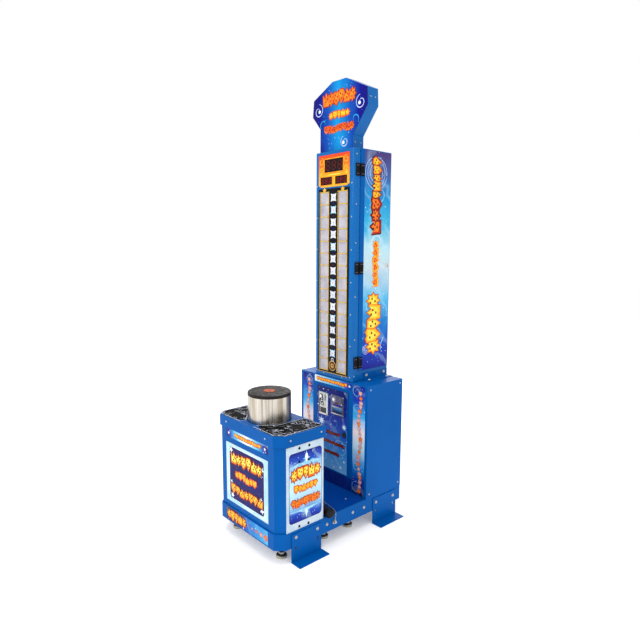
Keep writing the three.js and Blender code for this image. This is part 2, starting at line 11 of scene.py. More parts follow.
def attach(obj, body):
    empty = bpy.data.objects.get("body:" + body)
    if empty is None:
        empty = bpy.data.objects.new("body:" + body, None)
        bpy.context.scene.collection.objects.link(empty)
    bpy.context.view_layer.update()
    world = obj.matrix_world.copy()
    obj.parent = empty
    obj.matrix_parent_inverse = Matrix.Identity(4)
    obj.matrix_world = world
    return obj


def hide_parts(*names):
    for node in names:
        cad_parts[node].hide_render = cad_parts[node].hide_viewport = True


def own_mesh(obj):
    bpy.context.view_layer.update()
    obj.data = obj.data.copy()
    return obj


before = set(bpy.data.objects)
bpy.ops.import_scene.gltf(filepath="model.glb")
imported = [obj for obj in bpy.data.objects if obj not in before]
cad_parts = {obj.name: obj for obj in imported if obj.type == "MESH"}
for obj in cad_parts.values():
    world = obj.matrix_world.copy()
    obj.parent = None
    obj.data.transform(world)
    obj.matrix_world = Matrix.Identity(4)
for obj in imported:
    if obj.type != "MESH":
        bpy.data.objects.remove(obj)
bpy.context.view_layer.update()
MM = 0.001

# Measures that several pieces share, in millimetres
POST_Y = -270  # the striking post's axis
SIDE_PANEL = 251.3  # outer faces of the striking box's side panels
CABINET_FRONT = 147  # front face of the cabinet and the column
LAYER = 0.15  # thickness of one printed layer

X, Y, Z = Vector((1, 0, 0)), Vector((0, 1, 0)), Vector((0, 0, 1))


# Camera, light and floor
def make_camera():
    data = bpy.data.cameras.new("camera")
    data.lens = 30.46
    data.sensor_width = 36
    camera = bpy.data.objects.new("camera", data)
    bpy.context.collection.objects.link(camera)
    camera.location = (2.0484, -1.7806, 1.4376)
    camera.rotation_mode = "QUATERNION"
    azimuth, downward, roll = 48.13, 7.85, 0.25
    aim = Euler((math.radians(90 - downward), 0, math.radians(azimuth))).to_quaternion()
    camera.rotation_quaternion = aim @ Quaternion((0, 0, 1), math.radians(roll))
    bpy.context.scene.camera = camera


def make_light(name, place, target, size, power):
    data = bpy.data.lights.new(name, "AREA")
    data.shape = "RECTANGLE"
    data.size, data.size_y = size
    data.energy = power
    light = bpy.data.objects.new(name, data)
    bpy.context.collection.objects.link(light)
    light.location = place
    light.rotation_euler = (Vector(target) - Vector(place)).to_track_quat("-Z", "Y").to_euler()


def make_studio():
    world = bpy.data.worlds.new("studio")
    bpy.context.scene.world = world
    world.use_nodes = True
    background = world.node_tree.nodes["Background"]
    background.inputs["Color"].default_value = (1, 1, 1, 1)
    background.inputs["Strength"].default_value = 1.0
    bpy.context.scene.view_settings.view_transform = "Standard"
    make_light("key", (-0.6, -4.2, 3.0), (0, 0, 0.9), (2.2, 2.2), 60)
    make_light("side", (4.0, -0.2, 1.8), (0, 0, 0.9), (1.6, 2.4), 10)
    make_light("top", (0.4, -0.6, 4.6), (0, 0, 0.5), (2.5, 2.5), 42)
    make_light("back", (-2.6, 3.2, 2.2), (0, 0, 1.0), (2.0, 2.0), 40)
    mesh = bpy.data.meshes.new("floor")
    reach = 9
    corners = [(-reach, -reach, 0), (reach, -reach, 0), (reach, reach, 0), (-reach, reach, 0)]
    mesh.from_pydata(corners, [], [(0, 1, 2, 3)])
    floor = bpy.data.objects.new("floor", mesh)
    floor.location.z = -0.0005
    bpy.context.collection.objects.link(floor)
    pale = Finish("floor_pale")
    pale.shader(Base_Color=(0.93, 0.93, 0.93), Roughness=0.9, Emission_Color=(1, 1, 1),
                Emission_Strength=0.22)
    mesh.materials.append(pale.material)


# Materials
def linear(code):
    """A colour written as six hexadecimal digits, as linear red, green and blue."""
    parts = [int(code[i : i + 2], 16) / 255 for i in (0, 2, 4)]
    return tuple(c / 12.92 if c <= 0.04045 else ((c + 0.055) / 1.055) ** 2.4 for c in parts)


class Finish:
    """A procedural material. Its patterns are in the row frame, because every piece has its origin there.

    Inputs are given by name, with an underscore for a space.
    """

    def __init__(self, name):
        self.material = bpy.data.materials.new(name)
        self.material.use_nodes = True
        self.nodes = self.material.node_tree.nodes
        self.links = self.material.node_tree.links
        self.bsdf = self.nodes["Principled BSDF"]
        self.place = self.nodes.new("ShaderNodeTexCoord").outputs["Object"]

    def set(self, socket, value):
        if isinstance(value, bpy.types.NodeSocket):
            self.links.new(value, socket)
        elif socket.type == "RGBA":
            socket.default_value = (*value, 1)
        else:
            socket.default_value = value

    def fill(self, node, inputs):
        for name, value in inputs.items():
            self.set(node.inputs[name.replace("_", " ")], value)
        return node

    def add(self, kind, **inputs):
        return self.fill(self.nodes.new("ShaderNode" + kind), inputs)

    def shader(self, **inputs):
        self.fill(self.bsdf, inputs)

    def noise(self, scale, detail=3.0, stretch=None, distortion=0.0, roughness=0.5):
        place = self.place
        if stretch:
            place = self.add("Mapping", Vector=place, Scale=stretch).outputs["Vector"]
        node = self.add("TexNoise", Vector=place, Scale=scale, Detail=detail, Roughness=roughness,
                        Distortion=distortion)
        return node.outputs["Fac"]

    def wave(self, scale, distortion, kind="BANDS", direction="X"):
        node = self.add("TexWave", Vector=self.place, Scale=scale, Distortion=distortion, Detail=3.0)
        node.wave_type = kind
        node.bands_direction = direction
        return node.outputs["Fac"]

    def axis(self, index, low, high):
        """0 at low to 1 at high along a row axis, in millimetres."""
        split = self.add("SeparateXYZ", Vector=self.place)
        return self.rescale(split.outputs[index], low * MM, high * MM, 0.0, 1.0)

    def rescale(self, value, low, high, to_low, to_high):
        node = self.add("MapRange", Value=value, From_Min=low, From_Max=high, To_Min=to_low, To_Max=to_high)
        return node.outputs["Result"]

    def spread(self, noise, to_low, to_high):
        """A noise, whose values lie mostly between 0.3 and 0.7, stretched over a range of its own."""
        return self.rescale(noise, 0.3, 0.7, to_low, to_high)

    def math(self, operation, first, second):
        node = self.add("Math")
        node.operation = operation
        self.set(node.inputs[0], first)
        self.set(node.inputs[1], second)
        return node.outputs[0]

    def ramp(self, value, stops):
        """Each stop is a position and a colour code."""
        node = self.add("ValToRGB", Fac=value)
        elements = node.color_ramp.elements
        while len(elements) < len(stops):
            elements.new(0.5)
        for element, (position, code) in zip(elements, stops):
            element.position = position
            element.color = (*linear(code), 1)
        return node.outputs["Color"]

    def mix(self, share, first, second):
        node = self.add("Mix")
        node.data_type = "RGBA"
        self.set(node.inputs["Factor"], share)
        self.set(node.inputs[6], first)
        self.set(node.inputs[7], second)
        return node.outputs[2]

    def bump(self, height, strength, distance=0.0005):
        node = self.add("Bump", Height=height, Strength=strength, Distance=distance)
        self.shader(Normal=node.outputs["Normal"])


def shade(colour, factor):
    return tuple(min(1.0, c * factor) for c in colour)


def tones(colour, spread):
    """A darker and a lighter shade of a colour."""
    return shade(colour, 1 - spread), shade(colour, 1 + spread)


def paint(name, code, roughness=0.36, coat=0.02, texture=0.1, leaves_from=None):
    """Powder coat: fine orange peel, faint cloudiness, and a few dull rubbed patches.

    leaves_from is the x, in millimetres, past which hinge leaves on the same piece are black."""
    finish = Finish(name)
    colour = linear(code)
    cloud = finish.noise(2.2, 3.0)
    varied = finish.mix(finish.spread(cloud, 0, 1), *tones(colour, 0.1))
    specks = finish.rescale(finish.noise(260, 2.0), 0.66, 0.72, 0, 0.35)
    coloured = finish.mix(specks, varied, shade(colour, 1.35))
    if leaves_from:
        coloured = finish.mix(finish.axis(0, leaves_from, leaves_from + 0.2), coloured, linear("0c0c0f"))
    finish.shader(Base_Color=coloured)
    rubbed = finish.noise(7, 4.0, roughness=0.65)
    finish.shader(Roughness=finish.rescale(rubbed, 0.3, 0.75, roughness - 0.07, roughness + 0.16),
                  Specular_IOR_Level=0.045, Coat_Weight=coat, Coat_Roughness=0.12)
    finish.bump(finish.noise(420, 2.0), texture)
    return finish.material


def plastic(name, code, roughness=0.28, grain=300, texture=0.06, spread=0.12):
    finish = Finish(name)
    colour = linear(code)
    finish.shader(Base_Color=finish.mix(finish.noise(30, 3.0), *tones(colour, spread)),
                  Roughness=finish.spread(finish.noise(12, 4.0), roughness - 0.06, roughness + 0.1))
    finish.bump(finish.noise(grain, 2.0), texture)
    return finish.material


def metal(name, code, roughness, spread=0.15):
    """Bare or plated metal, with a fine grain that is stronger in patches."""
    finish = Finish(name)
    colour = linear(code)
    grained = finish.noise(400, 3.0)
    patch = finish.noise(9, 3.0)
    blend = finish.math("MULTIPLY", grained, finish.spread(patch, 0.6, 1.2))
    finish.shader(Base_Color=finish.mix(blend, *tones(colour, spread)), Metallic=1.0,
                  Roughness=finish.spread(grained, roughness * 0.75, roughness * 1.3))
    finish.bump(grained, 0.05, 0.0003)
    return finish.material


def banded_steel(name):
    """Rolled stainless sheet, brushed up and down: fine scored lines, over broad light and dark vertical
    stripes of painted reflection, whose pattern also varies the roughness.
    """
    finish = Finish(name)
    lines = finish.noise(700, 3.0, (1, 1, 0.01))
    bands = finish.noise(26, 3.0, (1, 1, 0.02), roughness=0.6)
    # Painted reflection: light and dark vertical stripes in the base colour.
    painted_reflection_shades = finish.ramp(bands, [(0.3, "8f8170"), (0.42, "b8ad9c"), (0.52, "e2ddd4"), (0.62, "b0a698"),
                               (0.74, "949aa5")])
    scored = finish.rescale(lines, 0.35, 0.65, 0, 0.35)
    finish.shader(Base_Color=finish.mix(scored, painted_reflection_shades, linear("6f675e")), Metallic=1.0,
                  Roughness=finish.spread(bands, 0.2, 0.36))
    finish.bump(lines, 0.1, 0.0003)
    return finish.material


def worn_rubber(name, code, roughness=0.62, scuff="6d6468"):
    finish = Finish(name)
    scuffs = finish.rescale(finish.noise(34, 6.0, distortion=1.2, roughness=0.7), 0.52, 0.72, 0, 0.55)
    finish.shader(Base_Color=finish.mix(scuffs, linear(code), linear(scuff)),
                  Roughness=finish.spread(finish.noise(60, 4.0), roughness - 0.12, roughness + 0.2),
                  Specular_IOR_Level=0.2)
    finish.bump(finish.noise(240, 4.0), 0.25)
    return finish.material


def ash(name):
    """Varnished ash: long grain along the handle with darker pores."""
    finish = Finish(name)
    rings = finish.noise(46, 5.0, (0.09, 1, 1), 0.6)
    pores = finish.noise(300, 3.0, (0.05, 1, 1))
    base = finish.ramp(rings, [(0.3, "8f6230"), (0.5, "c2935a"), (0.72, "d9b27a")])
    dark = finish.rescale(pores, 0.6, 0.75, 0, 0.5)
    finish.shader(Base_Color=finish.mix(dark, base, linear("6b4520")),
                  Roughness=finish.spread(rings, 0.3, 0.42), Coat_Weight=0.4)
    finish.bump(pores, 0.12)
    return finish.material


def printed(name, axis, low, high, stops, wisps=0.25, sparkle=True):
    """A printed picture of light: a gradient along one axis with soft wisps and small sparkles in it."""
    finish = Finish(name)
    along = finish.axis(axis, low, high)
    drift = finish.rescale(finish.noise(7, 4.0, distortion=1.5), 0.2, 0.8, -0.05, 0.05)
    base = finish.ramp(finish.math("ADD", along, drift), stops)
    wisp = finish.rescale(finish.wave(3.2, 11.0, direction="DIAGONAL"), 0.86, 1.0, 0, wisps)
    base = finish.mix(wisp, base, linear("c9f0ff"))
    if sparkle:
        dots = finish.rescale(finish.noise(95, 0.0), 0.78, 0.83, 0, 0.8)
        base = finish.mix(dots, base, linear("eaf8ff"))
    finish.shader(Base_Color=base, Roughness=finish.spread(finish.noise(18, 3.0), 0.25, 0.38),
                  Specular_IOR_Level=0.12, Coat_Weight=0.03, Coat_Roughness=0.08)
    finish.bump(finish.noise(380, 2.0), 0.05)
    return finish.material


def ink(name, code, other=None, scale=40, roughness=0.32):
    """A printed colour that drifts softly towards a second one."""
    finish = Finish(name)
    second = linear(other) if other else shade(linear(code), 0.8)
    share = finish.rescale(finish.noise(scale, 2.0), 0.4, 0.6, 0, 1)
    finish.shader(Base_Color=finish.mix(share, linear(code), second),
                  Roughness=finish.spread(finish.noise(30, 2.0), roughness - 0.04, roughness + 0.06),
                  Specular_IOR_Level=0.12, Coat_Weight=0.02)
    finish.bump(finish.noise(380, 2.0), 0.04)
    return finish.material


def swirled_mat(name):
    """Black ribbed mat printed with grey curls."""
    finish = Finish(name)
    curls = finish.wave(14.0, 34.0, "RINGS")
    lines = finish.rescale(curls, 0.74, 0.86, 0, 0.8)
    patches = finish.rescale(finish.noise(18, 2.0), 0.44, 0.56, 0, 1)
    share = finish.math("MULTIPLY", lines, patches)
    finish.shader(Base_Color=finish.mix(share, linear("030305"), linear("c3c7d4")),
                  Roughness=finish.spread(finish.noise(50, 3.0), 0.45, 0.65), Specular_IOR_Level=0.03)
    finish.bump(finish.noise(330, 3.0), 0.2)
    return finish.material


def foot_finish(name):
    """A pale zinc disc, with the part above it black and not metallic."""
    finish = Finish(name)
    upper = finish.axis(2, 10.5, 11.5)
    scratched = finish.noise(120, 4.0)
    disc = finish.mix(scratched, linear("8f8a7c"), linear("cfcabb"))
    finish.shader(Base_Color=finish.mix(upper, disc, linear("141316")),
                  Metallic=finish.math("SUBTRACT", 0.85, finish.math("MULTIPLY", upper, 0.85)),
                  Roughness=finish.spread(scratched, 0.34, 0.5))
    finish.bump(scratched, 0.12)
    return finish.material


def lens_plastic(name):
    """Milky moulded window: fine prisms over a slightly uneven glow."""
    finish = Finish(name)
    glow = finish.noise(14, 3.0)
    finish.shader(Base_Color=finish.ramp(glow, [(0.3, "a09caa"), (0.7, "c4c1cb")]),
                  Roughness=finish.spread(finish.noise(40, 3.0), 0.2, 0.36), Transmission_Weight=0.12)
    prisms = finish.wave(150, 0.2, direction="Z")
    finish.bump(prisms, 0.25)
    return finish.material


blue = paint("blue_coat", "0054a0")
gloss_blue = paint("gloss_coat", "005fa6", 0.26, 0.25)
door_coat = paint("door_coat", "0054a0", leaves_from=147.5)
# A darker copy of the blue coat: painted shade for the platform plate, which lies low between the striking
# box and the cabinet.
platform_shaded_blue = paint("platform_coat_painted_shade", "003f94", 0.34)
black_coat = paint("black_coat", "17171a", 0.38, 0.02, 0.2)
# Stainless steel with painted reflections in its base colour, for the striking post's sleeve.
steel = banded_steel("brushed_steel_painted_reflections")
zinc = metal("zinc_plate", "b9b8b4", 0.34)
chrome = metal("chrome_plate", "dcdcdc", 0.12, spread=0.05)
slate_metal = metal("slate_plate", "6c6a86", 0.3, spread=0.25)
gold = plastic("gold_trim", "cfa83a", 0.3)
bronze = metal("bronze", "b08642", 0.32)
rubber = worn_rubber("black_rubber", "0b0a0d", 0.5, "26262b")
pad_rubber = worn_rubber("pad_rubber", "1b1214", 0.5, "3a2c28")
black_plastic = plastic("black_plastic", "0f0f13")
matte_black = ink("matte_black", "040306", "08070b")
board_green = plastic("board_green", "1d6b3c", 0.4, 140, 0.3, 0.3)
white_frame = ink("frame_white", "c4d2dd", "b4c8d6", 20)
mat_print = swirled_mat("mat_print")
lens = lens_plastic("lens_milky")
foot_coat = foot_finish("foot_two_tone")
handle_wood = ash("handle_ash")
orange_disc = ink("target_orange", "c4572a", "8f3f24", 60, 0.5)

white = ink("ink_white", "f4f8fb", "e2ecf4")
pale_blue = ink("ink_pale_blue", "a9d6ee", "7cc0e4")
cyan = ink("ink_cyan", "2ba6dc", "1b8fd0")
navy = ink("ink_navy", "0a0662", "130352")
deep_blue = ink("ink_deep_blue", "10249a", "0b1a6e")
red = ink("ink_red", "c23218", "a0240f", 60)
orange = ink("ink_orange", "f4861c", "ec6418", 55)
yellow = ink("ink_yellow", "fdc92e", "f9ab22", 70)
pale_yellow = ink("ink_pale_yellow", "ffe45c", "fdd23a", 70)
maroon = ink("ink_maroon", "7a2218", "4f1614", 60)
black_ink = ink("ink_black", "050408", "0b0910")
led_off = ink("led_off", "661418", "4c0d11")
led_red = ink("led_red", "a31c1c", "7c1416")
ink_pink = ink("ink_pink", "e39a86", "d8b0b4")
lamp_white = ink("lamp_white", "dcdde4", "c9cbd8", 30)
ink_rust = ink("ink_rust", "8c3524", "6a2420", 60)
ink_haze = ink("ink_haze", "c2cdec", "9fb0dc")
ink_shadow = ink("ink_shadow", "0a2574", "0d2f88")
yellow_trim = ink("trim_yellow", "fbb425", "f08a1c", 30)

# Gradients of the printed pictures: positions from one end to the other, and colours
SKY = [(0.0, "0b1f8c"), (0.1, "1b47b8"), (0.24, "8fc3e4"), (0.5, "c2e2f0"), (0.74, "9fcdea"),
       (0.88, "1d49b6"), (1.0, "0a1a80")]
STRIP = [(0.0, "06064e"), (0.12, "0a2a90"), (0.26, "0f84d2"), (0.42, "b8dcec"), (0.58, "eee0de"),
         (0.72, "3aa8e0"), (0.87, "143cac"), (1.0, "1c1078")]
DOOR = [(0.0, "07158c"), (0.1, "0a3aac"), (0.22, "0e78c4"), (0.34, "55b0da"), (0.46, "bccfd8"),
        (0.57, "b2d6e0"), (0.67, "3dacd4"), (0.77, "0c8cc8"), (0.88, "3464a6"), (1.0, "473671")]
COIN_DOOR = [(0.0, "6fb2e0"), (0.22, "3a8ed2"), (0.42, "1f62c0"), (0.58, "173aa6"), (0.8, "151f86"),
             (1.0, "0f1464")]
TITLE = [(0.0, "0a1a78"), (0.1, "0f2f9c"), (0.25, "49b6e6"), (0.5, "e4f3f8"), (0.76, "49b6e6"),
         (0.88, "12309a"), (1.0, "0a1568")]
SIGN = [(0.0, "17146a"), (0.14, "0d1078"), (0.3, "0a4aa6"), (0.5, "0c8ccc"), (0.7, "0a4aa6"),
        (0.86, "0b0c80"), (1.0, "120f68")]
BASE = [(0.0, "160e4c"), (0.3, "1b1560"), (0.5, "135ab4"), (0.75, "1f86cc"), (1.0, "4aa6d8")]
HEADER = [(0.0, "d3ebf5"), (0.3, "8fd0ea"), (0.6, "3fb0e0"), (0.85, "1d5fc0"), (1.0, "0f2a8c")]
FIRE = [(0.0, "f9b92a"), (0.3, "f8a324"), (0.62, "f2731e"), (1.0, "df3c1c")]
FLAP = [(0.0, "06080f"), (0.45, "123a6e"), (1.0, "62a8dc")]

# Colours of an ornament: its rim, body, core and dots
FLAME = (red, orange, yellow, orange)
EMBER = (maroon, orange, yellow, maroon)


# Finishes of the CAD pieces
def dress(material, *nodes):
    for node in nodes:
        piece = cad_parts[node]
        piece.data.materials.clear()
        piece.data.materials.append(material)


def soften(width, *nodes):
    """Rounds the sheet's folded and cut edges a little."""
    for node in nodes:
        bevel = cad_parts[node].modifiers.new("edges", "BEVEL")
        bevel.width = width * MM
        bevel.segments = 2
        bevel.limit_method = "ANGLE"
        bevel.angle_limit = math.radians(38)


def dress_everything():
    feet = [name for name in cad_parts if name.startswith("foot_")]
    outriggers = [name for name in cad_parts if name.startswith("outrigger_")]
    hinges = [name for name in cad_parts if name.startswith("column_hinge_")]
    dress(blue, "strike_housing", "strike_lid", "base_frame", "cabinet_shell", "column_flange", "coin_door",
          *outriggers)
    dress(gloss_blue, "column_shell", "marquee_box")
    dress(door_coat, "column_door")
    # The platform plate wears the darker copy of the blue: painted shade.
    dress(platform_shaded_blue, "platform_plate")
    dress(white_frame, "front_panel", "side_panel_right", "side_panel_left")
    dress(steel, "strike_sleeve")
    dress(pad_rubber, "strike_pad")
    dress(orange_disc, "target_disc")
    dress(zinc, "plunger_shaft", "guide_beam", "strike_spring", "tether_lug", "cash_box", "power_supply")
    dress(bronze, "guide_bush")
    dress(rubber, "stop_buffer", "mallet_head", "mallet_grip")
    dress(foot_coat, *feet)
    dress(handle_wood, "mallet_handle")
    dress(mat_print, "step_mat_right", "step_mat_left")
    dress(chrome, "reject_button_left", "reject_button_right")
    dress(zinc, "coin_plate_left")
    dress(printed("flap_glow", 2, 550, 590, FLAP, 0, sparkle=False), "return_flap_right")
    dress(slate_metal, "coin_plate_right")
    dress(black_plastic, "impact_sensor", "return_flap_left", "door_lock", "power_inlet")
    dress(matte_black, "light_panel", "display_board")
    dress(board_green, "control_board")
    dress(lens, "light_board")
    dress(black_coat, *hinges)
    soften(1.4, "strike_lid", "strike_housing", "base_frame", "cabinet_shell", "column_shell", "marquee_box",
           *outriggers)
    soften(0.8, "coin_door", "column_door", "coin_plate_left", "coin_plate_right", "side_panel_left",
           "side_panel_right", "front_panel", "column_flange", *hinges)
    soften(0.4, "light_board", "display_board", "step_mat_left", "step_mat_right")


# Flat artwork
def around(u, v, radius, degrees):
    """The point at an angle on a circle."""
    angle = math.radians(degrees)
    return (u + radius * math.cos(angle), v + radius * math.sin(angle))


def rectangle(u0, u1, v0, v1):
    return [(u0, v0), (u1, v0), (u1, v1), (u0, v1)]


def rounded(u0, u1, v0, v1, radius):
    """A rectangle with rounded corners."""
    steps = 5
    corners = [(u1 - radius, v0 + radius, -90), (u1 - radius, v1 - radius, 0),
               (u0 + radius, v1 - radius, 90), (u0 + radius, v0 + radius, 180)]
    return [around(u, v, radius, start + 90 * i / steps) for u, v, start in corners for i in range(steps + 1)]


def star(u, v, radius, tips=5, inner=0.45, turn=90):
    reaches = (radius, radius * inner)
    return [around(u, v, reaches[i % 2], turn + 180 * i / tips) for i in range(2 * tips)]


def spark(u, v, half_width, half_height):
    """A four-pointed glint with a narrow waist."""
    waist = 0.16
    tips = [(1, 0), (0, 1), (-1, 0), (0, -1)]
    points = []
    for (a, b), (c, d) in zip(tips, tips[1:] + tips[:1]):
        points.append((u + a * half_width, v + b * half_height))
        points.append((u + (a + c) * waist * half_width * 1.6, v + (b + d) * waist * half_height))
    return points


def add_mesh(name, bm, body, materials, smooth=False):
    """Turns a bmesh into a piece that rides on a body."""
    mesh = bpy.data.meshes.new(name)
    bm.to_mesh(mesh)
    bm.free()
    for material in materials:
        mesh.materials.append(material)
    for polygon in mesh.polygons:
        polygon.use_smooth = smooth
    piece = bpy.data.objects.new(name, mesh)
    bpy.context.collection.objects.link(piece)
    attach(piece, body)
    return piece


def skin(bm, rings):
    """Joins each ring of vertices to the next with four-sided faces."""
    faces = []
    for lower, upper in zip(rings, rings[1:]):
        for a, b, c, d in zip(lower, lower[1:] + lower[:1], upper[1:] + upper[:1], upper):
            faces.append(bm.faces.new((a, b, c, d)))
    return faces


class Art:
    """Printed shapes on one flat face, in thin layers. A face has an origin and two directions."""

    def __init__(self, name, body, origin, across, up):
        self.name, self.body = name, body
        self.origin = Vector(origin)
        self.across, self.up = across, up
        self.out = across.cross(up)
        self.bm = bmesh.new()
        self.materials = []

    def slot(self, material):
        if material not in self.materials:
            self.materials.append(material)
        return self.materials.index(material)

    def point(self, u, v, out):
        return (self.origin + self.across * u + self.up * v + self.out * out) * MM

    def fill(self, points, material, layer=1):
        verts = [self.bm.verts.new(self.point(u, v, LAYER * layer)) for u, v in points]
        face = self.bm.faces.new(verts)
        face.material_index = self.slot(material)

    def ribbon(self, points, widths, material, layer=1, closed=False):
        """A line of varying width through the points."""
        count = len(points)
        sides = []
        for i, (u, v) in enumerate(points):
            before = points[(i - 1) % count] if closed or i else points[i]
            after = points[(i + 1) % count] if closed or i + 1 < count else points[i]
            du, dv = after[0] - before[0], after[1] - before[1]
            size = math.hypot(du, dv) or 1
            half = widths(i / max(1, count - 1)) / 2 if callable(widths) else widths / 2
            nu, nv = -dv / size * half, du / size * half
            places = [self.point(u + side * nu, v + side * nv, LAYER * layer) for side in (-1, 1)]
            sides.append([self.bm.verts.new(place) for place in places])
        last = count if closed else count - 1
        for i in range(last):
            a, b = sides[i], sides[(i + 1) % count]
            face = self.bm.faces.new((a[0], b[0], b[1], a[1]))
            face.material_index = self.slot(material)

    def ring(self, u, v, radius, width, material, layer=1):
        steps = 40
        points = [around(u, v, radius, 360 * i / steps) for i in range(steps)]
        self.ribbon(points, width, material, layer, closed=True)

    def curl(self, u, v, outer, turns, width, material, layer=1, start=0, hand=1):
        """A tapering spiral."""
        steps = int(turns * 28)
        points = []
        for i in range(steps + 1):
            share = i / steps
            points.append(around(u, v, outer * (1 - 0.78 * share), start + hand * 360 * turns * share))

        def swelling(t):
            return width * (0.25 + 0.75 * math.sin(math.pi * min(1, t + 0.1)))

        self.ribbon(points, swelling, material, layer)

    def bar(self, u0, u1, v0, v1, height, material, chamfer=0.6, low=0.0):
        """A raised strip with chamfered edges."""
        c = min(chamfer, (u1 - u0) / 3, (v1 - v0) / 3)
        outer, inner = rectangle(u0, u1, v0, v1), rectangle(u0 + c, u1 - c, v0 + c, v1 - c)
        levels = [(outer, low), (outer, low + height - c * 0.7), (inner, low + height)]
        rings = [[self.bm.verts.new(self.point(u, v, level)) for u, v in outline]
                 for outline, level in levels]
        for face in skin(self.bm, rings) + [self.bm.faces.new(rings[-1])]:
            face.material_index = self.slot(material)

    def finish(self):
        return add_mesh(self.name, self.bm, self.body, self.materials)


SHAPES = {
    "crown": [(-0.42, -0.46), (0.42, -0.46), (0.5, 0.42), (0.25, 0.14), (0, 0.52), (-0.25, 0.14),
              (-0.5, 0.42)],
    "shield": [(-0.44, 0.42), (-0.2, 0.5), (0, 0.4), (0.2, 0.5), (0.44, 0.42), (0.4, -0.14), (0, -0.5),
               (-0.4, -0.14)],
    "gem": [(-0.25, 0.48), (0.25, 0.48), (0.48, 0.18), (0, -0.5), (-0.48, 0.18)],
    "flame": [(0, -0.5), (0.38, -0.3), (0.46, 0.05), (0.26, 0.0), (0.22, 0.5), (0, 0.16), (-0.2, 0.4),
              (-0.26, 0.0), (-0.46, 0.1), (-0.38, -0.3)],
    "block": [(-0.45, 0.1), (0.45, 0.1), (0.45, 0.5), (-0.45, 0.5)],
    "burst": star(0, 0, 0.5, 8, 0.62),
}


def glyph(kind, u, v, w, h):
    """One ornament from the shapes, in a cell w wide and h high."""
    return [(u + a * w, v + b * h) for a, b in SHAPES[kind]]


def grown(points, distance):
    """The same outline, pushed out from its middle."""
    mu = sum(p[0] for p in points) / len(points)
    mv = sum(p[1] for p in points) / len(points)
    moved = []
    for u, v in points:
        size = math.hypot(u - mu, v - mv) or 1
        moved.append((u + (u - mu) / size * distance, v + (v - mv) / size * distance))
    return moved


KINDS = ["crown", "burst", "shield", "gem"]


def ornaments(art, u, v, width, height, count, seed, colours, layer, upright=True, backing=True):
    """A row of chunky ornaments, each over a dark and a bright edge. upright False turns the row."""
    rim, body, core, dot = colours
    chance = random.Random(seed)

    def put(points):
        return points if upright else [(u - (b - v), v + (a - u)) for a, b in points]

    cell = width / count
    edge = min(cell, height) * 0.11
    shapes = []
    for i in range(count):
        centre = u - width / 2 + cell * (i + 0.5)
        lift = height * chance.uniform(-0.05, 0.05)
        tall = height * chance.uniform(0.9, 1.06)
        shapes.append((KINDS[(i + seed) % len(KINDS)], centre, v + lift, cell * 1.3, tall))
    if backing:
        for shape in shapes:
            art.fill(put(grown(glyph(*shape), edge * 1.5)), maroon, layer)
    for i, (kind, centre, middle, wide, tall) in enumerate(shapes):
        step = layer + 1 + 4 * (i % 2)
        art.fill(put(grown(glyph(kind, centre, middle, wide, tall), edge)), rim, step)
        art.fill(put(glyph(kind, centre, middle, wide * 0.98, tall * 0.98)), body, step + 1)
        art.fill(put(glyph(kind, centre, middle + tall * 0.04, wide * 0.76, tall * 0.74)), core, step + 2)
        if cell > 13:
            size = min(cell, height) * 0.15
            for du, dv in ((-0.18, 0.22), (0.18, 0.1), (-0.05, -0.14)):
                art.fill(put(star(centre + du * cell, middle + dv * tall, size, 4, 0.55, 45)), dot, step + 3)


def scatter_stars(art, box, count, seed, material, size=(1.5, 4.0), layer=2):
    chance = random.Random(seed)
    u0, u1, v0, v1 = box
    for _ in range(count):
        radius = chance.uniform(*size)
        art.fill(spark(chance.uniform(u0, u1), chance.uniform(v0, v1), radius, radius * 1.4), material, layer)


def clouds(art, u0, u1, v, height, seed, material, layer, upward):
    """A ragged bank of light peaks along one edge of a picture."""
    chance = random.Random(seed)
    steps = 14
    edge = []
    for i in range(steps + 1):
        share = i / steps
        peak = 1 - abs(2 * share - 1) * 0.75
        edge.append((u0 + (u1 - u0) * share, v + upward * height * peak * chance.uniform(0.55, 1.0)))
    outline = [(u0, v)] + edge + [(u1, v)]
    art.fill(outline if upward < 0 else outline[::-1], material, layer)


# Screws and bolts
def heads(name, body, places, radius, material, height=None, washer=0.0, recess=True):
    """Domed screw heads in one mesh. Each place is a point in millimetres and the way the head faces."""
    sides = 18
    height = height or radius * 0.45
    dome = ((1, 0), (0.97, 0.45), (0.78, 0.86), (0.4, 1))
    profile = [(radius * across, height * up) for across, up in dome]
    if washer:
        thick = height * 0.25
        profile = [(washer, 0), (washer, thick), (radius, thick)] + [(r, h + thick) for r, h in profile]
    if recess:
        profile.append((radius * 0.36, profile[-1][1] - height * 0.55))
    bm = bmesh.new()
    for point, facing in places:
        turn = Vector(facing).normalized().to_track_quat("Z", "Y")
        rings = []
        for r, h in profile:
            ring = []
            for i in range(sides):
                angle = 2 * math.pi * i / sides
                local = Vector((r * math.cos(angle), r * math.sin(angle), h))
                ring.append(bm.verts.new((Vector(point) + turn @ local) * MM))
            rings.append(ring)
        skin(bm, rings)
        bm.faces.new(rings[-1])
    add_mesh(name, bm, body, [material], smooth=True)


def on_sides(x, ys, zs):
    """Places for screws on both sides of the machine, facing out."""
    return [((sign * x, y, z), (sign, 0, 0)) for sign in (-1, 1) for y in ys for z in zs]


def on_front(y, xs, zs, facing=-1):
    """Places for screws on a face towards the front, or with facing 1 towards the back."""
    return [((x, y, z), (0, facing, 0)) for x in xs for z in zs]


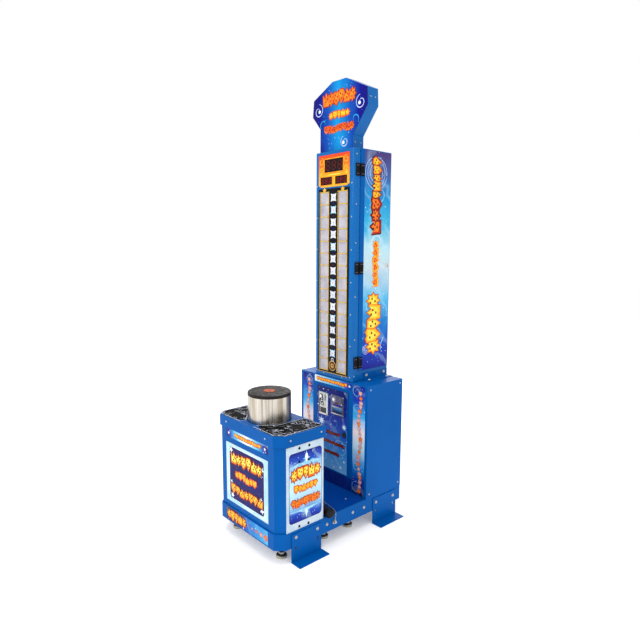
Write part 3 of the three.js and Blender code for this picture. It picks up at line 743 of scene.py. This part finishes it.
# The tether
ROUTE = [
    (263.3, -75, 120.3), (263.3, -75, 128), (263.3, -73, 137), (261.3, -70, 146), (255.8, -66, 152.1),
    (246.3, -61, 153.2), (236, -55, 152.6), (222, -51, 152.6), (200, -46.5, 152.6), (176, -42, 152.6),
    (140, -35, 152.6), (100, -24, 152.6), (60, -9, 152.6), (20, 9, 152.6), (-20, 28, 152.6), (-60, 46, 152.6),
    (-100, 61, 152.6), (-135, 70, 152.6), (-162, 73, 154.6), (-180, 71, 164.6), (-191, 65, 179.6),
    (-196, 56, 192.6), (-198.6, 45, 199.1), (-200.3, 34.5, 200.6),
]


def make_tether():
    curve = bpy.data.curves.new("tether", "CURVE")
    curve.dimensions = "3D"
    curve.bevel_depth = 0.002
    curve.bevel_resolution = 3
    spline = curve.splines.new("BEZIER")
    spline.bezier_points.add(len(ROUTE) - 1)
    for knot, place in zip(spline.bezier_points, ROUTE):
        knot.co = Vector(place) * MM
        knot.handle_left_type = knot.handle_right_type = "AUTO"
    spline.resolution_u = 6
    wire = Finish("wire_rope")
    strands = wire.wave(420, 1.0, direction="DIAGONAL")
    wire.shader(Base_Color=wire.mix(strands, linear("5c5c5e"), linear("c9c9c6")), Metallic=1.0,
                Roughness=wire.rescale(strands, 0, 1, 0.5, 0.28))
    wire.bump(strands, 0.6)
    curve.materials.append(wire.material)
    tether = bpy.data.objects.new("tether", curve)
    bpy.context.collection.objects.link(tether)
    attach(tether, "machine")
    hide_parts("tether_cable")


def make_spring():
    """The return spring, as a fixed coil: it does not shorten while the striker goes down its 40 mm."""
    low, high, wire, radius, turns, stroke = 490.3, 717.9, 4.0, 45.0, 7, 40.0
    steps, sides = turns * 36, 10
    bm = bmesh.new()
    rings = []
    for i in range(steps + 1):
        angle = 2 * math.pi * turns * i / steps
        outward = Vector((math.cos(angle), math.sin(angle), 0))
        middle = Vector((0, POST_Y, low + wire + (high - low - 2 * wire) * i / steps)) + outward * radius
        rings.append([bm.verts.new((middle + (outward * math.cos(t) + Z * math.sin(t)) * wire) * MM)
                      for t in (2 * math.pi * j / sides for j in range(sides))])
    skin(bm, rings)
    bm.faces.new(rings[0])
    bm.faces.new(rings[-1][::-1])
    bmesh.ops.recalc_face_normals(bm, faces=bm.faces)
    spring = add_mesh("return_spring", bm, "machine", [zinc], smooth=True)
    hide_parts("strike_spring")
    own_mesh(spring)


# Faces of the machine that carry art
def face(name, body, side, place):
    """Art on an upright face. side is front, back, right or left, and place its distance along that axis."""
    faces = {
        "front": ((0, place, 0), X, Z),
        "back": ((0, place, 0), -X, Z),
        "right": ((place, 0, 0), Y, Z),
        "left": ((place, 0, 0), -Y, Z),
    }
    return Art(name, body, *faces[side])


def side_pictures():
    sky = printed("print_sky", 2, 185, 514, SKY, 0.2, sparkle=False)
    for side, sign in (("right", 1), ("left", -1)):
        art = face(f"side_picture_{side}", "machine", side, sign * SIDE_PANEL)
        centre = sign * -253
        art.fill(rounded(centre - 98, centre + 98, 183, 516, 17), navy, 1)
        art.fill(rounded(centre - 96, centre + 96, 185, 514, 15), sky, 2)
        clouds(art, centre - 93, centre + 93, 447, 30, 3, pale_blue, 3, 1)
        clouds(art, centre - 93, centre + 93, 240, 22, 4, pale_blue, 3, -1)
        for v, half, tall in ((478, 13, 34), (214, 11, 24)):
            art.fill(spark(centre + 4, v, half * 1.7, tall * 1.15), pale_blue, 4)
            art.fill(glyph("gem", centre + 4, v, half * 1.5, tall * 1.4), white, 5)
        scatter_stars(art, (centre - 86, centre + 86, 470, 508), 9, 5, white, (1.6, 3.6), 4)
        scatter_stars(art, (centre - 84, centre + 84, 192, 224), 7, 6, white, (1.4, 3.0), 4)
        ornaments(art, centre, 412, 170, 64, 5, 1, (red, orange, pale_yellow, maroon), 5)
        ornaments(art, centre, 341, 138, 38, 6, 2, FLAME, 5, backing=False)
        ornaments(art, centre, 276, 168, 42, 7, 3, (red, orange, orange, maroon), 5)
        piece = art.finish()
        rivets = [(y, z) for z in (157, 235, 315, 395, 470, 541) for y in (-359, -146)]
        screws = [(-291, 534), (-232, 534), (-292, 161), (-237, 158), (-291, 470), (-236, 468)]
        rivets, screws = ([((sign * SIDE_PANEL, y, z), (sign, 0, 0)) for y, z in spots]
                          for spots in (rivets, screws))
        heads(f"panel_rivets_{side}", "machine", rivets, 2.6, zinc, recess=False)
        heads(f"panel_screws_{side}", "machine", screws, 6.2, black_coat, 3.2)


def front_pictures():
    art = face("front_picture", "machine", "front", -409.3)
    art.fill(rounded(-168, 168, 183, 475, 4), ink("panel_blue_rim", "9fd0ea", "c3e3f1", 14), 1)
    art.fill(rounded(-144, 144, 198, 465, 16), white, 2)
    art.fill(rounded(-142, 142, 200, 463, 14), navy, 3)
    ornaments(art, 0, 412, 250, 66, 6, 4, (maroon, orange, pale_yellow, black_ink), 5)
    ornaments(art, -4, 333, 176, 40, 6, 5, FLAME, 5, backing=False)
    ornaments(art, 0, 254, 258, 48, 7, 6, EMBER, 5)
    for u, v, radius in ((-128, 448, 13), (128, 420, 13), (122, 392, 9), (-126, 284, 10), (-120, 218, 12),
                         (127, 226, 14), (118, 276, 9)):
        art.fill(star(u, v, radius * 1.3, 5, 0.45, 70), white, 5)
    scatter_stars(art, (-132, 132, 206, 456), 26, 8, pale_blue, (0.8, 2.0), 4)
    art.finish()

    glow = printed("print_title", 0, -170, 170, TITLE, 0.3)
    title = face("title_strip", "machine", "front", -407)
    title.fill(rounded(-172, 172, 506, 549, 3), glow, 1)
    ornaments(title, 8, 527, 216, 20, 12, 7, FLAME, 3)
    for u in (-150, 148):
        title.fill(star(u, 527, 9, 5, 0.45), white, 3)
    title.finish()

    ground = printed("print_base", 0, -173, 173, BASE, 0.12)
    base = face("base_strip", "machine", "front", -413)
    base.fill(rounded(-173, 173, 76, 144, 3), ground, 1)
    ornaments(base, -84, 110, 160, 54, 5, 9, (maroon, orange, yellow, black_ink), 3)
    for i, u in enumerate((16, 48, 82, 120, 158)):
        base.fill(star(u, 108, 6 + 3.6 * i, 5, 0.52, 80 + 9 * i), red, 3)
        base.fill(star(u, 108, 4 + 3.0 * i, 5, 0.52, 80 + 9 * i), ink_pink if i % 2 else orange, 4)
    base.finish()


def cabinet_pictures():
    strip = printed("print_strip", 2, 154, 733, STRIP, 0.1)
    art = face("cabinet_strips", "machine", "front", CABINET_FRONT)
    for sign in (-1, 1):
        u0, u1 = sorted((sign * 155, sign * 240))
        art.fill(rounded(u0, u1, 154, 733, 3), strip, 1)
        middle = sign * 198
        for v, size in ((700, 34), (610, 26), (300, 24), (190, 34)):
            art.curl(middle - sign * 16, v, size, 1.4, 2.2, pale_blue, 2, 40 * sign, sign)
        for i in range(14):
            tilt = (i - 6.5) * 7
            for v, reach in ((700, 1), (178, -1)):
                ray = [(middle + tilt * 0.25, v + reach * 26), (middle + tilt * 0.8, v - reach * 30)]
                art.ribbon(ray, lambda t: 1.4 * math.sin(math.pi * t) + 0.2, cyan, 2)
        for i in range(23):
            shape = glyph(KINDS[i % 4], middle + 6 + 8 * math.sin(i * 0.7), 178 + i * 23.5, 25, 23)
            art.fill(grown(shape, 1.5), ink_rust, 3)
            art.fill(shape, orange if i % 3 == 0 else ink_pink, 4)
        scatter_stars(art, (u0 + 6, u1 - 6, 160, 728), 22, 12 + sign, white, (1.0, 2.6), 2)
    art.fill(rounded(-142, 142, 699, 735, 3), printed("print_header", 0, -142, 142, HEADER, 0.3), 1)
    ornaments(art, -8, 717, 232, 19, 13, 10, FLAME, 3)
    art.fill(star(128, 717, 8, 5, 0.45), white, 3)
    art.fill(rectangle(-150, 150, 152, 222), ink_shadow, 1)
    art.finish()

    ramp = printed("print_coin_door", 2, 232, 675, COIN_DOOR, 0.12)
    door = face("coin_door_picture", "coin_door_leaf", "front", 143.7)
    patches = [(-117, 117, 232, 430), (-117, 117, 470, 524), (-117, 117, 653, 681), (-117, 84, 430, 470),
               (108, 117, 430, 470), (-117, -101, 524, 653), (-24, -5, 524, 653), (98, 117, 524, 653),
               (-5, 98, 524, 544)]
    for patch in patches:
        door.fill(rectangle(*patch), ramp, 1)
    for u, v, radius in ((-81, 487, 21), (95, 490, 15), (70, 262, 9), (20, 250, 6), (96, 300, 7)):
        door.fill(star(u, v, radius * 1.3, 8, 0.46), pale_blue, 3)
        door.fill(star(u, v, radius * 0.9, 8, 0.5), white, 4)
    for v, half in ((436, 62), (383, 98), (325, 56)):
        ornaments(door, 0, v, 2 * half, 17, max(6, int(half / 7)), v, (black_ink, maroon, red, maroon), 3)
    door.curl(-60, 300, 46, 1.2, 3, pale_blue, 2, 20)
    door.curl(70, 360, 60, 1.1, 3, pale_blue, 2, 200, -1)
    door.curl(20, 500, 40, 1.2, 2.4, cyan, 2, 90)
    scatter_stars(door, (-110, 110, 240, 420), 22, 77, white, (1.0, 3.0), 2)
    door.finish()


def coin_plates():
    """Details of the two coin acceptors: bezels, slot throats, screws and stickers."""
    plate = 138.4
    for name, centre, width, low, high in (("left", -62.5, 73, 526, 650), ("right", 46.5, 99, 546, 652)):
        art = face(f"coin_details_{name}", "coin_door_leaf", "front", plate)
        half = width / 2
        slot = centre + half / 2 - 2
        pocket = half - 13
        for side in (-1, 1):
            u0, u1 = sorted((slot + side * 3.4, slot + side * 7))
            art.bar(u0, u1, high - 46, high - 8, 2.6, chrome if name == "left" else zinc, 1.0)
        art.ring(centre - half / 2, high - 24, 12.5, 3, black_ink if name == "left" else zinc, 1)
        art.bar(centre - pocket - 4, centre + pocket + 4, low + 42, low + 45, 2.2, chrome, 0.8)
        art.bar(centre - pocket - 4, centre + pocket + 4, low + 4.5, low + 8, 2.2, chrome, 0.8)
        if name == "right":
            art.fill(rounded(centre - 30, centre + 34, low + 50, low + 58, 2), deep_blue, 1)
            art.fill(rounded(centre - 18, centre + 10, low + 61, low + 68, 2), maroon, 1)
            art.fill(star(centre + 30, low + 64, 6, 6, 0.5), white, 2)
        else:
            art.fill(rounded(centre + 24, centre + 34, low + 6, high - 6, 2), white, 1)
            art.fill(glyph("flame", centre - 13, low + 88, 32, 52), black_ink, 1)
            art.fill(glyph("flame", centre - 13, low + 84, 17, 28), white, 2)
            art.curl(centre - 12, low + 88, 12, 1.4, 5, black_ink, 3, 30)
            art.curl(centre - 8, low + 58, 14, 1.4, 5, black_ink, 1, 200, -1)
            art.fill(rounded(centre - 34, centre - 27, low + 8, high - 40, 2), black_ink, 1)
        art.finish()
        corners = on_front(plate, (centre - half + 5, centre + half - 5), (low + 5, high - 5))
        heads(f"coin_screws_{name}", "coin_door_leaf", corners, 3, zinc)


def tall_picture(name, body, side, place, u0, u1, ramp):
    """The picture down one side of the column: circles of light, three groups of ornaments and stars."""
    art = face(name, body, side, place)
    middle = (u0 + u1) / 2
    art.fill(rounded(u0, u1, 797, 1905, 3), ramp, 1)
    for u, v, radii in ((middle - 13, 1798, (80, 64, 46)), (u0 + 27, 902, (24, 16, 9))):
        for radius in radii:
            art.ring(u, v, radius, 2.8, ink_haze, 2)
    art.curl(middle + 16, 1700, 60, 1.1, 4, pale_blue, 2, 120)
    art.curl(middle + 6, 1450, 66, 1.0, 3, white, 2, 300, -1)
    art.curl(middle - 14, 1130, 76, 1.1, 4, pale_blue, 2, 60)
    art.ribbon([(middle + 16 + 55 * math.sin(t / 9), 1880 - t * 9) for t in range(12)], 2.2, ink_haze, 2)
    art.ribbon([(middle + 71 - 30 * math.sin(t / 6), 960 - t * 6) for t in range(14)],
               lambda t: 5 * math.sin(math.pi * t) + 0.6, pale_blue, 2)
    ornaments(art, middle - 7, 1775, 200, 66, 5, 11, EMBER, 4, upright=False)
    ornaments(art, middle - 12, 1590, 172, 76, 3, 12, (maroon, red, orange, maroon), 4, upright=False)
    ornaments(art, middle - 8, 1345, 226, 46, 6, 12, (orange, yellow, orange, red), 4, upright=False,
              backing=False)
    ornaments(art, middle - 18, 1034, 300, 104, 5, 13, (orange, yellow, pale_yellow, maroon), 4,
              upright=False)
    scatter_stars(art, (u0 + 5, u1 - 6, 805, 1895), 42, 14, white, (1.2, 3.4), 3)
    art.finish()


def column_pictures():
    ramp = printed("print_column_door", 2, 795, 1909, DOOR, 0.16)
    tall_picture("column_door_picture", "column_door_leaf", "right", 147.3, 217, 411, ramp)
    tall_picture("column_left_picture", "machine", "left", -145.2, -397, -203, ramp)

    for place, centre in (("low", 840), ("middle", 1324), ("high", 1806)):
        fixed = [((150.3, y, centre + z), (1, 0, 0)) for y in (160.5, 171) for z in (-20, 20)]
        moving = [((150.3, y, centre + z), (1, 0, 0)) for y in (198, 208) for z in (-20, 20)]
        heads(f"hinge_screws_fixed_{place}", "machine", fixed, 2.8, slate_metal)
        heads(f"hinge_screws_moving_{place}", "column_door_leaf", moving, 2.8, slate_metal)
    latch = face("column_door_latch", "column_door_leaf", "right", 147.3)
    latch.bar(386, 404, 1320, 1346, 3.2, chrome, 1.2)
    latch.bar(393.5, 396.5, 1326, 1340, 3.8, black_plastic, 0.6)
    latch.finish()


def segments(art, u, v, w, h, thick, material):
    """One seven-segment figure with every segment drawn."""
    half_w, half_h = w / 2 - thick * 0.2, h / 2
    slant = 0.09
    t = thick / 2
    gap = 0.8 + t * 0.5
    for b in (half_h, 0, -half_h):
        a0, a1 = -half_w + gap, half_w - gap
        lying = [(a0, b), (a0 + t, b - t), (a1 - t, b - t), (a1, b), (a1 - t, b + t), (a0 + t, b + t)]
        art.fill([(u + x + slant * y, v + y) for x, y in lying], material, 1)
    for b0, b1 in ((0, half_h), (-half_h, 0)):
        for a in (-half_w, half_w):
            low, high = b0 + gap, b1 - gap
            standing = [(a, low), (a + t, low + t), (a + t, high - t), (a, high), (a - t, high - t),
                        (a - t, low + t)]
            art.fill([(u + x + slant * y, v + y) for x, y in standing], material, 1)


def displays():
    dress(printed("print_fire", 2, 1733, 1895, FIRE, 0.0, sparkle=False), "display_panel")
    art = face("display_picture", "machine", "front", 143.7)
    rim = 4
    for u0, u1, v0, v1 in ((-68, 68, 1806, 1871), (-98, -11, 1744, 1784), (11, 98, 1744, 1784)):
        for bar in ((u0 - rim, u1 + rim, v1, v1 + rim), (u0 - rim, u1 + rim, v0 - rim, v0),
                    (u0 - rim, u0, v0, v1), (u1, u1 + rim, v0, v1)):
            art.bar(*bar, 1.6, yellow_trim, 0.5)
    art.fill(rounded(-44, 44, 1791, 1795.5, 2), pale_yellow, 2)
    for sign in (-1, 1):
        art.curl(sign * 92, 1862, 19, 1.3, 4, yellow, 2, 90, sign)
        art.curl(sign * 90, 1820, 15, 1.2, 3.4, yellow, 2, 270, -sign)
        art.fill(glyph("flame", sign * 92, 1800, 18, 22), yellow, 2)
    art.ribbon([(-106, 1746), (-92, 1736.5), (92, 1736.5), (106, 1746)], 3.0, gold, 3)
    art.finish()
    digits = face("display_digits", "machine", "front", 144.4)
    for u in (-43, 0, 43):
        segments(digits, u, 1838.5, 27, 42, 6.4, led_off)
    for u in (-80, -54.5, -29, 29, 54.5, 80):
        segments(digits, u, 1764, 15, 25, 3.8, led_red)
    digits.finish()


def lamp_column():
    """Gold trims round the two columns of lamp windows, and the emblems between them."""
    art = face("lamp_trim", "machine", "front", 144.2)
    top, pitch, rows = 1707, 62, 15
    bottom = top - rows * pitch
    for sign in (-1, 1):
        uprights = (sign * 34.5, sign * 100.5)
        for u in uprights:
            art.bar(u - 2, u + 2, bottom - 6, top + 3, 1.8, gold, 0.8)
        for row in range(rows + 1):
            v = top - row * pitch
            u0, u1 = sorted((sign * 36, sign * 99))
            art.bar(u0, u1, v - 2.5, v + 2.5, 1.4, gold, 0.6)
            for u in uprights:
                art.fill(star(u, v, 5.2, 4, 0.55, 0), gold, 12)
        art.fill(glyph("flame", sign * 67, top + 11, 26, 18), gold, 6)
        art.fill(spark(sign * 67, top + 15, 17, 9), yellow, 7)
    for row in range(rows - 1):
        v = top - pitch * (row + 0.45)
        art.fill(star(0, v, 29, 4, 0.5, 45), pale_blue if row % 3 == 1 else lamp_white, 2)
        art.fill(star(0, v, 19, 8, 0.74, 90), lamp_white, 3)
        art.fill(glyph("block", 0, v - 4, 15, 13), ink_haze, 4)
        art.fill(rectangle(-2, 2, v - 14, v), ink_haze, 4)
        art.fill(spark(0, v - pitch / 2, 10, 6), (deep_blue, maroon, deep_blue, black_ink)[row % 4], 3)
        art.fill(spark(-15, v - pitch / 2 + 5, 6, 5), navy, 2)
        art.fill(spark(15, v - pitch / 2 - 4, 6, 5), navy, 2)
    art.ring(0, 806, 25, 3.6, gold, 3)
    art.fill(star(0, 806, 22, 10, 0.78), maroon, 3)
    art.fill(star(0, 806, 15, 8, 0.6), gold, 4)
    art.fill(glyph("gem", 0, 806, 13, 13), navy, 5)
    art.ring(0, 838, 8, 2.6, white, 4)
    art.bar(-113, 113, bottom - 14, bottom - 11.5, 0.9, gold, 0.4)
    art.finish()


def sign_picture():
    """The sign's face: cyan in the middle, dark at both sides, with curls and rows of ornaments."""
    glow = Finish("print_sign")
    across = glow.axis(0, -200, 200)
    drift = glow.rescale(glow.noise(9, 3.0, distortion=1.0), 0.2, 0.8, -0.05, 0.05)
    glow.shader(Base_Color=glow.ramp(glow.math("ADD", across, drift), SIGN),
                Roughness=glow.spread(glow.noise(20, 3.0), 0.22, 0.34), Specular_IOR_Level=0.06,
                Coat_Weight=0.02)
    glow.bump(glow.noise(380, 2.0), 0.05)
    dress(glow.material, "marquee_face")
    art = face("sign_art", "machine", "front", 177)
    swirls = ((152, 2123, 36, 100, 1), (-153, 2127, 36, 80, -1), (43, 1952, 30, 110, 1))
    for u, v, size, start, hand in swirls:
        art.curl(u, v, size, 1.25, 5, ink_haze, 2, start, hand)
        art.fill(star(u - hand * 9, v - 3, 9, 12, 0.85), white, 3)
    art.curl(112, 2050, 30, 0.7, 5, cyan, 2, 320, 1)
    art.curl(-112, 2056, 28, 0.7, 5, cyan, 2, 220, -1)
    ornaments(art, 0, 2170, 226, 66, 6, 20, (red, orange, orange, black_ink), 4)
    ornaments(art, 2, 2090, 146, 40, 5, 21, FLAME, 4, backing=False)
    ornaments(art, 0, 2023, 210, 40, 8, 22, (red, orange, red, orange), 4, backing=False)
    scatter_stars(art, (-90, 80, 1916, 2000), 12, 23, pale_blue, (2.0, 4.5), 2)
    scatter_stars(art, (-120, 120, 2208, 2222), 7, 24, pale_blue, (1.5, 3.5), 2)
    scatter_stars(art, (-175, 175, 2060, 2160), 22, 25, cyan, (1.5, 4.0), 2)
    art.finish()


def mat_trims():
    """Pale edging round the two step mats."""
    inner = [around(0, POST_Y, 114, -63 + 7 * i) for i in range(10)]
    loop = [(52, -403), (212.5, -403), (244, -370), (244, -146), (114, -146)] + inner[::-1]
    for name, sign in (("right", 1), ("left", -1)):
        art = Art(f"mat_trim_{name}", "machine", (0, 0, 608.3), X, Y)
        art.ribbon([(sign * u, v) for u, v in loop], 2.2, white, 1, closed=True)
        art.finish()


def fasteners():
    lid = on_front(-415, (-160, 160), (582,)) + on_sides(256, (-345, -162), (582,))
    heads("lid_screws", "machine", lid, 4.6, zinc)
    skirt = on_sides(254, (-121, 55, 136), (110,)) + on_front(413, (-180, 0, 180), (110,), 1)
    heads("skirt_bolts", "machine", skirt, 5.2, zinc, 3.6, washer=8)
    brackets = [((sign * 258.3, y, z), (sign, 0, 0)) for sign in (-1, 1)
                for y, z in ((-316, 118), (-186, 114), (222, 112), (354, 108))]
    heads("bracket_bolts", "machine", brackets, 5.6, zinc, 4, washer=8.5)
    column = on_front(CABINET_FRONT, (-128, 128), range(764, 1905, 163))
    column += on_front(CABINET_FRONT, (-70, 70), (757,))
    column += [((144, 163, z), (1, 0, 0)) for z in (770, 960, 1180, 1450, 1640, 1880)]
    column += [((-144, y, z), (-1, 0, 0)) for y in (165, 400) for z in (770, 1000, 1240, 1480, 1720, 1890)]
    heads("column_screws", "machine", column, 3.6, zinc)
    foot = on_sides(147.6, (252, 386), (765,))
    foot += [((sign * 167, y, 744.3), (0, 0, 1)) for sign in (-1, 1) for y in (252, 386)]
    heads("flange_bolts", "machine", foot, 5.4, zinc, 3.4, washer=8)
    deck = [((x, y, 150.3), (0, 0, 1)) for x in (-184, 184) for y in (-100, 73)]
    heads("deck_screws", "machine", deck, 5.2, zinc)
    heads("cabinet_screws", "machine", on_sides(256, (170, 395), (170, 720)), 4.2, zinc)
    rim = [((98.8, y, 1945), (1, 0, 0)) for y in (196, 236)]
    rim += [((195, y, 2143), (1, 0.0, 0.05)) for y in (200, 232)]
    heads("sign_screws", "machine", rim, 3.4, zinc)


def rear_panels():
    """Back covers with vents, which the machine needs for its lamps and power supply."""
    thick = 1.6
    art = face("rear_covers", "machine", "back", 415)
    art.bar(-118, 118, 800, 1860, thick, blue, 0.8)
    art.bar(-206, 206, 260, 690, thick, blue, 0.8)
    # The vent slots below are dark strips on the covers: painted shade where the openings would be.
    for base in (860, 1700):
        for row in range(9):
            art.bar(-70, 70, base + row * 13, base + row * 13 + 5, 0.5, black_plastic, 0.2, thick)
    for row in range(12):
        art.bar(-120, 120, 560 + row * 9, 560 + row * 9 + 4, 0.5, black_plastic, 0.2, thick)
    art.bar(-232, -148, 160, 222, 1.2, zinc, 0.6)
    art.bar(60, 84, 1310, 1336, 4, chrome, 1.2, thick)
    art.bar(150, 174, 460, 486, 4, chrome, 1.2, thick)
    art.finish()
    places = on_front(416.6, (-110, 110), (812, 1070, 1330, 1590, 1848), 1)
    places += on_front(416.6, (-197, 197), (272, 475, 678), 1)
    heads("rear_screws", "machine", places, 3.6, zinc)
    housing = face("striker_back_seam", "machine", "back", -142)
    housing.bar(-170, 170, 200, 500, 1.2, blue, 0.6)
    housing.finish()
    heads("striker_back_screws", "machine", on_front(-140.8, (-160, 160), (212, 488), 1), 3.6, zinc)
    left = face("column_left_cover", "machine", "left", -144)
    left.bar(-400, -172, 800, 1900, 1.2, blue, 0.8)
    left.finish()


def slot_plugs():
    """Black plugs in the spare slots of the four outriggers."""
    for side, sign in (("right", 1), ("left", -1)):
        art = face(f"slot_plugs_{side}", "machine", side, sign * 254.4)
        for middle in (-250, 284):
            for offset in (-67, 67):
                u = sign * (middle + offset)
                art.bar(u - 3.9, u + 3.9, 58.1, 75.9, 2.2, black_plastic, 0.5)
        art.finish()


def foot_nuts():
    """Zinc hexagon nuts on each foot's stem, under the frame."""
    profile = [(9, 16.0), (15.4, 16.0), (16.4, 17.4), (16.4, 25), (15.4, 26.2), (9, 26.2)]
    for row, y in (("front", -340), ("mid", -80), ("step", 90), ("rear", 350)):
        for side, x in (("right", 180), ("left", -180)):
            bm = bmesh.new()
            skin(bm, [[bm.verts.new([c * MM for c in (*around(x, y, radius, 60 * i), z)]) for i in range(6)]
                      for radius, z in profile])
            nut = add_mesh(f"foot_nut_{row}_{side}", bm, f"foot_{row}_{side}_screw", [zinc])


make_camera()
make_tether()
make_spring()
make_studio()
dress_everything()
side_pictures()
front_pictures()
cabinet_pictures()
coin_plates()
column_pictures()
displays()
lamp_column()
sign_picture()
mat_trims()
fasteners()
rear_panels()
slot_plugs()
foot_nuts()
